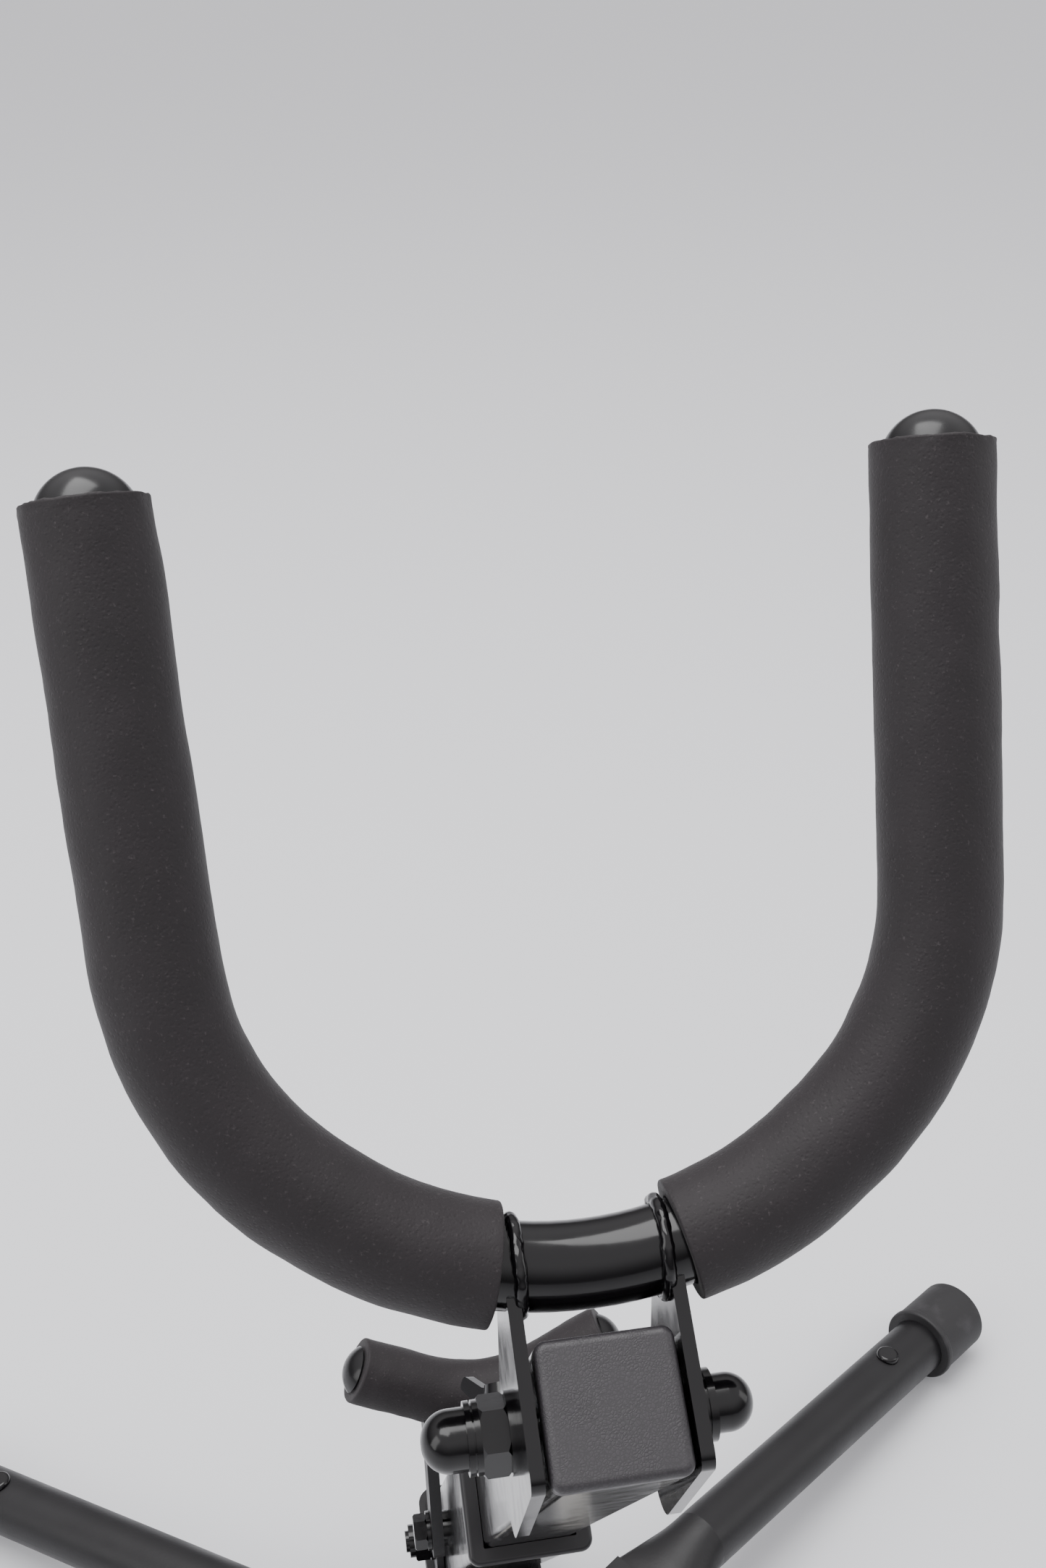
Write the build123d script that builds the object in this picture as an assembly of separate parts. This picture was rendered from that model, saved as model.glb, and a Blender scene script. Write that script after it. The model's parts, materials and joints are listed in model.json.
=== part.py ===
from build123d import *
import math
import os

# Saxophone stand: a foam-sleeved bell yoke on a telescoping square mast, a padded lower rest,
# and a folding three-legged base. Millimetres, +Z up, +Y towards the back, floor at Z = 0.

# ---- overall layout ----
yoke_bolt_height = 300.0     # yoke pivot above the floor
yoke_bolt_y = -95.0          # yoke pivot, front of the base centre
mast_pitch = 56.5            # mast falls this many degrees below level towards the back
yoke_lean = 27.0             # yoke arms lean back from upright

# ---- bell yoke ----
yoke_tube_d = 12.7
yoke_tube_wall = 1.2
yoke_foam_d = 18.0
yoke_half_span = 59.5        # arm centre to stand centre, at the top
yoke_splay = 2.8             # each arm opens outwards by this angle
yoke_tube_top = 135.5        # along the arm direction, from the pivot
yoke_bottom = 23.25          # tube centre at the lowest point, from the pivot
yoke_base_slope = 38.0       # slope where the wide base bend meets the tighter side bends
yoke_base_radius = 58.0
yoke_corner_radius = 48.5
plug_head_d = 14.4
plug_head_h = 5.4
foam_lip_h = 0.9             # the foam ends this far above the tube, round the plug's head

# ---- yoke clevis and its stud ----
clevis_inner_half = 10.75
clevis_plate_t = 2.0
clevis_front = 15.2          # front edge, ahead of the pivot
clevis_length = 44.0
clevis_drop = 9.4            # lower front corner, below the pivot
clevis_flare = 6.0           # the lower edge falls away from the mast by this angle
stud_end_left = 24.0
stud_end_right = 19.5
stud_washer_t = 1.0
jam_nut_h = 4.0

# ---- mast ----
inner_side = 20.0
inner_wall = 1.2
inner_front = 11.6           # front end of the inner tube, ahead of the pivot
inner_rear = 217.0           # rear end of the inner tube, behind the pivot
cap_face_t = 4.0
outer_side = 25.0
outer_wall = 1.5
outer_front = 145.0
mast_pivot_height = 52.0
outer_tail = 8.0             # tube beyond the mast pivot
bush_length = 40.0
bush_flange_t = 3.0
lock_at = 162.0              # height lock, behind the yoke pivot
boss_d = 12.0
boss_h = 6.0
wing_turn = -50.0            # how the screw's wings come to rest, round its axis

# ---- lower rest ----
rest_pivot_at = 250.0        # behind the yoke pivot, along the mast
rest_tube_d = 9.5
rest_tube_wall = 1.0
rest_foam_d = 16.5
rest_half_span = 33.5
rest_slope = 27.0
rest_bend_radius = 35.0
rest_reach = 44.0            # pivot to the lowest point of the rest tube
rest_raise = 43.2            # bars stand up from the mast by this angle
rest_bar_inner = 14.0
rest_bar_t = 3.0
rest_bar_w = 14.0

# ---- hub and legs ----
hub_plate_t = 2.5
hub_gap = 4.0
hub_lobe_r = 13.0            # round the leg pivots
hub_nose_w = 26.0
hub_tail_w = 34.0
hub_tail_beyond = 31.0       # hub plates run this far behind the mast pivot
mast_bolt_spacing = 19.5     # bracket bolts, before and behind the mast pivot
hub_mid_z = 30.0             # middle of the gap between the hub plates
leg_pivot_x = 27.0
leg_pivot_y = 41.4
rear_leg_angle = 53.6        # each rear leg, from straight back
front_leg_y = 30.9
front_bolt_gap = 15.0        # the front leg is held by two bolts
nose_front = 5.5             # front edge of the hub plates
leg_d = 19.0
leg_wall = 1.5
tang_t = 3.8
tang_w = 26.0
tang_flat = 27.0             # flat part beyond the bolt
tang_blend = 24.0            # length over which the flat end opens to the round tube
leg_end = 194.0
boot_start = 174.0
boot_end = 198.0
boot_d = 24.5
boot_bead_h = 2.6
boot_bead_out = 0.5
sole_sink = 0.8              # moulded flat on the underside of the boot
rivet_at = 152.0
rivet_head_d = 7.6

# ---- screws ----
m6_r = 3.0
m6_hole_r = 3.05
m6_across = 10.0
m5_r = 2.5
m5_hole_r = 2.55
m5_across = 8.0

mast_cos = math.cos(math.radians(mast_pitch))
mast_sin = math.sin(math.radians(mast_pitch))
bolt_point = Vector(0, yoke_bolt_y, yoke_bolt_height)
mast_frame = Plane(origin=bolt_point, x_dir=(1, 0, 0), z_dir=(0, mast_sin, mast_cos)).location
lean_dir = (0, math.sin(math.radians(yoke_lean)), math.cos(math.radians(yoke_lean)))
yoke_frame = Plane(origin=bolt_point, x_dir=(1, 0, 0), z_dir=lean_dir).location
mast_pivot_at = (yoke_bolt_height - mast_pivot_height) / mast_sin
mast_pivot_y = yoke_bolt_y + mast_pivot_at * mast_cos
rest_dir_y = -math.cos(math.radians(rest_raise))
rest_dir_z = math.sin(math.radians(rest_raise))
rest_local = Plane(origin=(0, rest_pivot_at, 0), x_dir=(1, 0, 0), z_dir=(0, rest_dir_y, rest_dir_z)).location
rest_frame = mast_frame * rest_local


# ---- shared shapes ----
def rod_x(radius, x_low, x_high):
    # solid round bar lying along X
    mid = (x_low + x_high) / 2
    return Pos(mid, 0, 0) * Rot(0, 90, 0) * Cylinder(radius, abs(x_high - x_low))


def rod_z(radius, z_low, z_high):
    # solid round bar standing along Z
    return Pos(0, 0, (z_low + z_high) / 2) * Cylinder(radius, z_high - z_low)


def hexagon_z(across_flats, z_low, z_high):
    # hexagonal block with its corner edges broken
    block = Pos(0, 0, z_low) * extrude(RegularPolygon(across_flats / math.sqrt(3), 6), z_high - z_low)
    return block & Pos(0, 0, z_low) * corner_break(across_flats, z_high - z_low)


def corner_break(across_flats, height):
    # turned envelope that rounds the six corners of a nut or bolt head
    crown = chamfer(Cylinder(across_flats / math.sqrt(3), height).edges().filter_by(GeomType.CIRCLE), 0.5)
    return Pos(0, 0, height / 2) * crown


def box_between(low, high):
    size = [b - a for a, b in zip(low, high)]
    mid = [(a + b) / 2 for a, b in zip(low, high)]
    return Pos(*mid) * Box(*size)


def round_sweep(path, outer_r, inner_r):
    # tube or sleeve along a path
    start = Plane(origin=path @ 0, z_dir=path % 0)
    ring = start * (Circle(outer_r) - Circle(inner_r))
    return sweep(ring, path=path)


def write(solid, node):
    export_step(solid, f"parts/{node}.step")


# ---- bell yoke ----
def yoke_runs():
    # straight lengths of the half yoke: lower run and arm
    slope = math.radians(yoke_base_slope)
    steep = math.radians(90 - yoke_splay)
    rise_base = yoke_base_radius * (1 - math.cos(slope))
    rise_corner = yoke_corner_radius * (math.cos(slope) - math.cos(steep))
    side_base = yoke_base_radius * math.sin(slope)
    side_corner = yoke_corner_radius * (math.sin(steep) - math.sin(slope))
    need_x = yoke_half_span - side_base - side_corner
    need_z = yoke_tube_top - yoke_bottom - rise_base - rise_corner
    det = math.cos(slope) * math.sin(steep) - math.sin(slope) * math.cos(steep)
    lower = (need_x * math.sin(steep) - need_z * math.cos(steep)) / det
    arm = (need_z * math.cos(slope) - need_x * math.sin(slope)) / det
    return lower, arm


def yoke_path():
    # centre line of the whole bent tube, from the left end to the right end
    lower, arm = yoke_runs()
    heading = math.radians(-90 + yoke_splay)
    turn = 90 - yoke_splay - yoke_base_slope
    start = Vector(-yoke_half_span, yoke_tube_top)
    left_arm = Line(start, start + arm * Vector(math.cos(heading), math.sin(heading)))
    left_corner = JernArc(left_arm @ 1, left_arm % 1, yoke_corner_radius, turn)
    left_run = Line(left_corner @ 1, (left_corner @ 1) + lower * (left_corner % 1))
    base = JernArc(left_run @ 1, left_run % 1, yoke_base_radius, 2 * yoke_base_slope)
    right_run = Line(base @ 1, (base @ 1) + lower * (base % 1))
    right_corner = JernArc(right_run @ 1, right_run % 1, yoke_corner_radius, turn)
    right_arm = Line(right_corner @ 1, (right_corner @ 1) + arm * (right_corner % 1))
    return Plane.XZ * Wire([left_arm, left_corner, left_run, base, right_run, right_corner, right_arm])


def sleeve_path():
    # centre line of the right foam sleeve, from the clevis plate to the arm end
    lower, arm = yoke_runs()
    turn = 90 - yoke_splay - yoke_base_slope
    from_angle = math.degrees(math.asin((clevis_inner_half + clevis_plate_t + 0.9) / yoke_base_radius))
    a = math.radians(from_angle)
    start = Vector(yoke_base_radius * math.sin(a), yoke_bottom + yoke_base_radius * (1 - math.cos(a)))
    base = JernArc(start, (math.cos(a), math.sin(a)), yoke_base_radius, yoke_base_slope - from_angle)
    run = Line(base @ 1, (base @ 1) + lower * (base % 1))
    corner = JernArc(run @ 1, run % 1, yoke_corner_radius, turn)
    upright = Line(corner @ 1, (corner @ 1) + arm * (corner % 1))
    return Plane.XZ * Wire([base, run, corner, upright])


def yoke_tube():
    return round_sweep(yoke_path(), yoke_tube_d / 2, yoke_tube_d / 2 - yoke_tube_wall)


def yoke_sleeve():
    # right foam sleeve, with a short lip round the plug's head
    lip = rod_z(yoke_foam_d / 2, 0, foam_lip_h) - rod_z(plug_head_d / 2 + 0.05, -1, foam_lip_h + 1)
    hose = round_sweep(sleeve_path(), yoke_foam_d / 2, yoke_tube_d / 2 + 0.05)
    return hose + yoke_end_place(1) * lip


def domed_plug(head_r, head_h, spigot_r, spigot_length):
    # push-in plug, spigot down, with a ball-shaped head on the tube's cut end
    ball_r = (head_r ** 2 + head_h ** 2) / (2 * head_h)
    ball = Pos(0, 0, head_h - ball_r) * Sphere(ball_r)
    head = ball & rod_z(head_r + 1, 0.05, head_h + 1)
    return head + rod_z(spigot_r, -spigot_length, 0.05)


def yoke_plug():
    return domed_plug(plug_head_d / 2, plug_head_h, yoke_tube_d / 2 - yoke_tube_wall - 0.05, 10)


def yoke_end_place(side):
    # frame on the cut end of one arm, +Z out of the tube
    return Pos(side * yoke_half_span, 0, yoke_tube_top) * Rot(0, side * yoke_splay, 0)


# ---- clevis and stud ----
def clevis_outline():
    # side view of one clevis plate in (Y along the mast, Z off the mast)
    flare = math.radians(clevis_flare)
    lean = math.radians(mast_pitch - yoke_lean)
    rear_y = -clevis_front + clevis_length * math.cos(flare)
    rear_z = -clevis_drop - clevis_length * math.sin(flare)
    weld_y = -yoke_bottom * math.sin(lean)
    weld_z = yoke_bottom * math.cos(lean)
    corners = [
        (-clevis_front, -clevis_drop),
        (rear_y, rear_z),
        (rear_y - 1.4, rear_z + 13.0),
        (weld_y + 7.5, weld_z + 1.0),
        (-clevis_front - 0.6, weld_z + 1.0),
    ]
    return Polygon(*corners, align=None)


def clevis_plate(side):
    face = clevis_outline()
    inner = side * clevis_inner_half
    blank = Pos(inner, 0, 0) * extrude(Plane.YZ * face, side * clevis_plate_t)
    long_edges = blank.edges().filter_by(Axis.X).sort_by(Axis.Y)
    rear_low = long_edges.sort_by(Axis.Z)[0]
    blank = fillet(rear_low, 7.0)
    small = [e for e in blank.edges().filter_by(Axis.X) if (e @ 0).Y < -14 or (e @ 0).Y > 26]
    blank = fillet(small, 2.5)
    hole = rod_x(m6_hole_r, inner - 3 * side, inner + 5 * side)
    tube_here = mast_frame.inverse() * yoke_frame * yoke_solid_core()
    return blank - hole - tube_here


def yoke_solid_core():
    start = yoke_path()
    disc = Plane(origin=start @ 0, z_dir=start % 0) * Circle(yoke_tube_d / 2)
    return sweep(disc, path=start)


def stud_seat():
    # outer face of each washer on the stud
    return clevis_inner_half + clevis_plate_t + stud_washer_t


def pivot_stud():
    return rod_x(m6_r, -stud_end_left, stud_end_right)


def pivot_washers():
    # one washer outside each clevis plate
    plate_out = clevis_inner_half + clevis_plate_t
    right = rod_x(5.9, plate_out, stud_seat()) - rod_x(m6_hole_r, plate_out - 1, stud_seat() + 1)
    return Compound(children=[right, mirror(right, Plane.YZ)])


def jam_nut():
    body = Rot(0, -90, 0) * hexagon_z(m6_across, stud_seat(), stud_seat() + jam_nut_h)
    return body - rod_x(m6_hole_r, -stud_seat() - jam_nut_h - 1, -stud_seat() + 1)


def dome_nut(seat, flange_r, flange_h, dome_r, dome_h, stud_end):
    # flanged cap nut on the right, its seat at X = seat, with a ring groove round the flange
    flange = rod_z(flange_r, 0, flange_h)
    groove = rod_z(flange_r + 1, flange_h * 0.42, flange_h * 0.58) - rod_z(flange_r - 0.4, 0, flange_h)
    dome = rod_z(dome_r, flange_h, flange_h + dome_h)
    dome = fillet(dome.edges().sort_by(Axis.Z)[-1], min(dome_r - 0.3, dome_h - 0.8))
    nut = Pos(seat, 0, 0) * Rot(0, 90, 0) * (flange - groove + dome)
    return nut - rod_x(m6_hole_r, seat - 1, stud_end + 0.05)


def dome_nut_left():
    nut = dome_nut(stud_seat() + jam_nut_h, 5.2, 2.0, 4.45, 6.5, stud_end_left)
    return mirror(nut, Plane.YZ)


def dome_nut_right():
    return dome_nut(stud_seat(), 5.2, 2.6, 4.2, 6.1, stud_end_right)


# ---- mast, in its own frame: Y along the mast towards the back, Z off its upper face ----
def square_tube(side, wall, y_low, y_high, corner):
    outside = RectangleRounded(side, side, corner)
    inside = RectangleRounded(side - 2 * wall, side - 2 * wall, max(corner - wall, 0.3))
    plane = Plane(origin=(0, y_low, 0), x_dir=(1, 0, 0), z_dir=(0, 1, 0))
    return extrude(plane * (outside - inside), y_high - y_low)


def inner_tube():
    body = square_tube(inner_side, inner_wall, -inner_front, inner_rear, 1.8)
    return body - rod_x(m6_hole_r, -12, 12)


def end_cap():
    # square plastic plug: rounded face block and a ribbed spigot inside the tube
    face_plane = Plane(origin=(0, -inner_front, 0), x_dir=(1, 0, 0), z_dir=(0, -1, 0))
    block = extrude(face_plane * RectangleRounded(inner_side, inner_side, 1.8), cap_face_t)
    block = fillet(block.faces().sort_by(Axis.Y)[0].edges(), 1.3)
    bore = inner_side - 2 * inner_wall
    half_out = bore / 2 - 0.1
    half_in = bore / 2 - 1.8
    spigot = box_between((-half_out, -inner_front, -half_out), (half_out, -4, half_out))
    hollow = box_between((-half_in, -inner_front + 1, -half_in), (half_in, 0, half_in))
    spigot = fillet(spigot.edges().filter_by(Axis.Y), 0.6)
    return block + spigot - hollow


def outer_tube():
    tail = mast_pivot_at + outer_tail - 1.5
    body = square_tube(outer_side, outer_wall, outer_front, tail, 2.0)
    body = body - Pos(0, rest_pivot_at, 0) * rod_x(m5_hole_r, -14, 14)
    body = body - Pos(0, mast_pivot_at, 0) * rod_x(m6_hole_r, -14, 14)
    return body - Pos(0, lock_at, 0) * rod_z(m6_hole_r, 5, 14)


def outer_tube_plug():
    tail = mast_pivot_at + outer_tail
    bore = outer_side - 2 * outer_wall - 0.1
    half = outer_side / 2
    plate = box_between((-half, tail - 1.5, -half), (half, tail, half))
    plate = fillet(plate.edges().filter_by(Axis.Y), 1.9)
    skirt = box_between((-bore / 2, tail - 4.4, -bore / 2), (bore / 2, tail - 1.5, bore / 2))
    hollow = box_between((-bore / 2 + 2, tail - 5, -bore / 2 + 2), (bore / 2 - 2, tail - 1.5, bore / 2 - 2))
    return plate + fillet(skirt.edges().filter_by(Axis.Y), 0.5) - hollow


def slide_bush():
    # plastic liner pressed into the mouth of the outer tube, with a collar on its front
    bore = inner_side + 0.2
    plug = outer_side - 2 * outer_wall - 0.04
    sleeve = square_tube(plug, (plug - bore) / 2, outer_front, outer_front + bush_length, 0.6)
    wall = (outer_side + 2 - bore) / 2
    collar = square_tube(outer_side + 2, wall, outer_front - bush_flange_t, outer_front, 2.6)
    collar = fillet(collar.faces().sort_by(Axis.Y)[0].outer_wire().edges(), 1.0)
    return sleeve + collar - Pos(0, lock_at, 0) * rod_z(m6_hole_r, 5, 14)


def lock_boss():
    boss = rod_z(boss_d / 2, outer_side / 2, outer_side / 2 + boss_h)
    boss = chamfer(boss.edges().sort_by(Axis.Z)[-1], 0.8)
    return Pos(0, lock_at, 0) * (boss - rod_z(m6_hole_r, 5, 30))


def wing_screw():
    # screw that presses on the inner tube, with two upswept wings
    base = outer_side / 2 + boss_h + 1.5
    shank = rod_z(m6_r, inner_side / 2 + 0.15, base)
    hub = Pos(0, 0, base + 2.6) * Cone(5.2, 4.2, 5.2)
    outline = Polygon((-3, 0), (3, 0), (8.5, 2.2), (13.0, 6.4), (11.2, 9.0), (5.5, 5.2), (0, 4.2),
                      (-5.5, 5.2), (-11.2, 9.0), (-13.0, 6.4), (-8.5, 2.2), align=None)
    wings = Pos(0, 0, base) * extrude(Plane.XZ * outline, 1.3, both=True)
    tips = [e for e in wings.edges().filter_by(Axis.Y) if abs((e @ 0).X) > 8]
    wings = fillet(tips, 1.1)
    return Pos(0, lock_at, 0) * Rot(0, 0, wing_turn) * (shank + hub + wings)


# ---- lower rest ----
def rest_bend(start_x, end_x):
    # centre line of the shallow V between two X stations, in the rest's own XZ plane
    slope = math.radians(rest_slope)
    knee = rest_bend_radius * math.sin(slope)
    points = []
    if start_x < -knee:
        points.append(Line(rest_at(start_x), rest_at(min(end_x, -knee))))
    if start_x < knee and end_x > -knee:
        low = max(start_x, -knee)
        high = min(end_x, knee)
        points.append(ThreePointArc(rest_at(low), rest_at((low + high) / 2), rest_at(high)))
    if end_x > knee:
        points.append(Line(rest_at(max(start_x, knee)), rest_at(end_x)))
    return Plane.XZ * Wire(points)


def rest_at(x):
    # point of the V's centre line at station x
    slope = math.radians(rest_slope)
    knee = rest_bend_radius * math.sin(slope)
    if abs(x) <= knee:
        return (x, rest_reach + rest_bend_radius - math.sqrt(rest_bend_radius ** 2 - x * x))
    knee_z = rest_reach + rest_bend_radius * (1 - math.cos(slope))
    return (x, knee_z + (abs(x) - knee) * math.tan(slope))


def rest_tube():
    path = rest_bend(-rest_half_span, rest_half_span)
    return round_sweep(path, rest_tube_d / 2, rest_tube_d / 2 - rest_tube_wall)


def rest_foam():
    # one foam hose over the whole V, slit from below where the two bars come up into it
    ends = rest_half_span - 0.5
    hose = round_sweep(rest_bend(-ends, ends), rest_foam_d / 2, rest_tube_d / 2 + 0.05)
    half_w = rest_bar_w / 2 + 0.3
    inner = rest_bar_inner - 0.3
    outer = rest_bar_inner + rest_bar_t + 0.3
    right = box_between((inner, -half_w, 0), (outer, half_w, rest_bar_top() + 0.3))
    left = box_between((-outer, -half_w, 0), (-inner, half_w, rest_bar_top() + 0.3))
    return hose - right - left


def rest_bar_top():
    return rest_at(rest_bar_inner + rest_bar_t)[1] + 1.0


def rest_bar(side):
    # flat bar from the pivot bolt up to the rest tube
    inner = side * rest_bar_inner
    profile = Rectangle(rest_bar_w, rest_bar_top(), align=(Align.CENTER, Align.MIN)) + Circle(rest_bar_w / 2)
    blank = Pos(inner, 0, 0) * extrude(Plane.YZ * profile, side * rest_bar_t)
    hole = rod_x(m5_hole_r, inner - 3 * side, inner + 6 * side)
    path = rest_bend(-rest_half_span, rest_half_span)
    core = sweep(Plane(origin=path @ 0, z_dir=path % 0) * Circle(rest_tube_d / 2), path=path)
    return blank - hole - core


def rest_plug():
    return domed_plug(rest_tube_d / 2 + 1.2, 2.8, rest_tube_d / 2 - rest_tube_wall - 0.05, 8)


def rest_end_place(side):
    x, z = rest_at(side * rest_half_span)
    return Pos(x, 0, z) * Rot(0, side * (90 - rest_slope), 0)


def rest_stack():
    # outer face of each washer on the rest's pivot bolt
    return rest_bar_inner + rest_bar_t + 1.1


def rest_pivot_bolt():
    head = Rot(0, -90, 0) * hexagon_z(m5_across, rest_stack(), rest_stack() + 3.5)
    shank = rod_x(m5_r, -rest_stack() - 0.4, rest_stack() + 5.4)
    return Pos(0, rest_pivot_at, 0) * (head + shank)


def rest_pivot_nut():
    body = Rot(0, 90, 0) * hexagon_z(m5_across, rest_stack(), rest_stack() + 3.0)
    collar = rod_x(3.7, rest_stack() + 3.0, rest_stack() + 4.4)
    return Pos(0, rest_pivot_at, 0) * (body + collar - rod_x(m5_hole_r, rest_stack() - 1, rest_stack() + 6))


def rest_ring(outer_r, x_low, x_high):
    # a pair of rings on the pivot bolt, one each side
    right = rod_x(outer_r, x_low, x_high) - rod_x(m5_hole_r, x_low - 1, x_high + 1)
    return Pos(0, rest_pivot_at, 0) * Compound(children=[right, mirror(right, Plane.YZ)])


def rest_spacers():
    return rest_ring(4.6, outer_side / 2, rest_bar_inner - 0.1)


def rest_washers():
    return rest_ring(5.0, rest_bar_inner + rest_bar_t + 0.1, rest_stack())


# ---- base hub ----
def hub_outline():
    nose = Pos(0, (nose_front + leg_pivot_y) / 2) * RectangleRounded(hub_nose_w, leg_pivot_y - nose_front, 6)
    neck = Pos(0, leg_pivot_y - hub_lobe_r) * Rectangle(hub_nose_w, 2 * hub_lobe_r)
    cross = Pos(0, leg_pivot_y) * Rectangle(2 * leg_pivot_x, 2 * hub_lobe_r)
    lobe = Pos(leg_pivot_x, leg_pivot_y) * Circle(hub_lobe_r)
    lobes = lobe + mirror(lobe, Plane.YZ)
    tail_end = mast_pivot_y + hub_tail_beyond
    tail = Pos(0, (leg_pivot_y + tail_end) / 2) * RectangleRounded(hub_tail_w, tail_end - leg_pivot_y, 6)
    return nose + neck + cross + lobes + tail


def hub_bolt_points():
    stations = [front_leg_y, front_leg_y - front_bolt_gap]
    stations += [mast_pivot_y - mast_bolt_spacing, mast_pivot_y + mast_bolt_spacing]
    return [(0, y) for y in stations]


def leg_pivot_points():
    return [(-leg_pivot_x, leg_pivot_y), (leg_pivot_x, leg_pivot_y)]


def hub_plate(z_low):
    plate = Pos(0, 0, z_low) * extrude(hub_outline(), hub_plate_t)
    for x, y in hub_bolt_points() + leg_pivot_points():
        plate = plate - Pos(x, y, 0) * rod_z(m6_hole_r, 10, 50)
    return plate


def hub_spacer():
    tail_end = mast_pivot_y + hub_tail_beyond - 2
    start = leg_pivot_y + 3.5
    low = (-12, start, hub_mid_z - hub_gap / 2)
    high = (12, tail_end, hub_mid_z + hub_gap / 2)
    block = fillet(box_between(low, high).edges().filter_by(Axis.Z), 2.0)
    for x, y in hub_bolt_points()[2:]:
        block = block - Pos(x, y, 0) * rod_z(m6_hole_r, 10, 50)
    return block


def hub_top():
    return hub_mid_z + hub_gap / 2 + hub_plate_t


def hub_bottom():
    return hub_mid_z - hub_gap / 2 - hub_plate_t


def mast_bracket():
    # folded U bracket: long base on the hub, two ears beside the mast's foot
    base_low = hub_top()
    ear_in = outer_side / 2 + 0.3
    ear_out = ear_in + 2.0
    half_length = hub_tail_beyond - 2
    low = (-ear_out, mast_pivot_y - half_length, base_low)
    base = box_between(low, (ear_out, mast_pivot_y + half_length, base_low + 2.0))
    base = fillet(base.edges().filter_by(Axis.Z), 4.0)
    ear_face = Pos(mast_pivot_y, mast_pivot_height) * Circle(11.5)
    tall = mast_pivot_height - base_low
    ear_face += Pos(mast_pivot_y, base_low + tall / 2) * Rectangle(23, tall)
    right = Pos(ear_in, 0, 0) * extrude(Plane.YZ * ear_face, 2.0)
    left = Pos(-ear_out, 0, 0) * extrude(Plane.YZ * ear_face, 2.0)
    body = base + right + left
    body = body - Pos(0, mast_pivot_y, mast_pivot_height) * rod_x(m6_hole_r, -20, 20)
    for x, y in hub_bolt_points()[2:]:
        body = body - Pos(x, y, 0) * rod_z(m6_hole_r, 10, 50)
    return body


def m6_bolt(seat_z, end_z):
    return hexagon_z(m6_across, seat_z, seat_z + 4.0) + rod_z(m6_r, end_z, seat_z)


def m6_nut(seat_z):
    # lock nut hanging below its seat, with the round nylon collar at the bottom
    body = hexagon_z(m6_across, seat_z - 4.4, seat_z) + rod_z(4.6, seat_z - 6.0, seat_z - 4.4)
    return body - rod_z(m6_hole_r, seat_z - 7, seat_z + 1)


def hub_bolts():
    front = [Pos(x, y, 0) * m6_bolt(hub_top(), hub_bottom() - 7) for x, y in hub_bolt_points()[:2]]
    rear = [Pos(x, y, 0) * m6_bolt(hub_top() + 2, hub_bottom() - 7) for x, y in hub_bolt_points()[2:]]
    return Compound(children=front + rear)


def hub_nuts():
    return Compound(children=[Pos(x, y, 0) * m6_nut(hub_bottom()) for x, y in hub_bolt_points()])


def leg_pivot_bolts():
    seat = hub_top() + 1.2
    end = hub_bottom() - 8.2
    return Compound(children=[Pos(x, y, 0) * m6_bolt(seat, end) for x, y in leg_pivot_points()])


def leg_pivot_washers():
    rings = []
    for x, y in leg_pivot_points():
        for z in (hub_top(), hub_bottom() - 1.2):
            rings.append(Pos(x, y, 0) * (rod_z(6.5, z, z + 1.2) - rod_z(m6_hole_r, z - 1, z + 3)))
    return Compound(children=rings)


def leg_pivot_nuts():
    return Compound(children=[Pos(x, y, 0) * m6_nut(hub_bottom() - 1.2) for x, y in leg_pivot_points()])


def mast_pivot_place():
    return Pos(0, mast_pivot_y, mast_pivot_height)


def mast_pivot_bolt():
    ear_out = outer_side / 2 + 2.3
    head = Rot(0, 90, 0) * hexagon_z(m6_across, ear_out + 1.2, ear_out + 5.2)
    return mast_pivot_place() * (head + rod_x(m6_r, -ear_out - 8.2, ear_out + 1.2))


def mast_pivot_washers():
    ear_out = outer_side / 2 + 2.3
    left = rod_x(6.0, -ear_out - 1.2, -ear_out) - rod_x(m6_hole_r, -20, -10)
    right = rod_x(6.0, ear_out, ear_out + 1.2) - rod_x(m6_hole_r, 10, 20)
    return mast_pivot_place() * Compound(children=[left, right])


def mast_pivot_nut():
    ear_out = outer_side / 2 + 2.3
    nut = Rot(0, 90, 0) * m6_nut(-ear_out - 1.2)
    return mast_pivot_place() * nut


# ---- legs, built along +X from the bolt hole, then turned into place ----
def leg_slope():
    drop = hub_mid_z - (boot_d / 2 - sole_sink)
    return math.degrees(math.atan(drop / (boot_end - tang_flat)))


def leg_axis_place(s):
    # frame on the leg's centre line at distance s, +Z along the leg
    tilt = leg_slope()
    z = -(s - tang_flat) * math.tan(math.radians(tilt))
    along = (math.cos(math.radians(tilt)), 0, -math.sin(math.radians(tilt)))
    return Plane(origin=(s, 0, z), x_dir=(0, 1, 0), z_dir=along)


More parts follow.
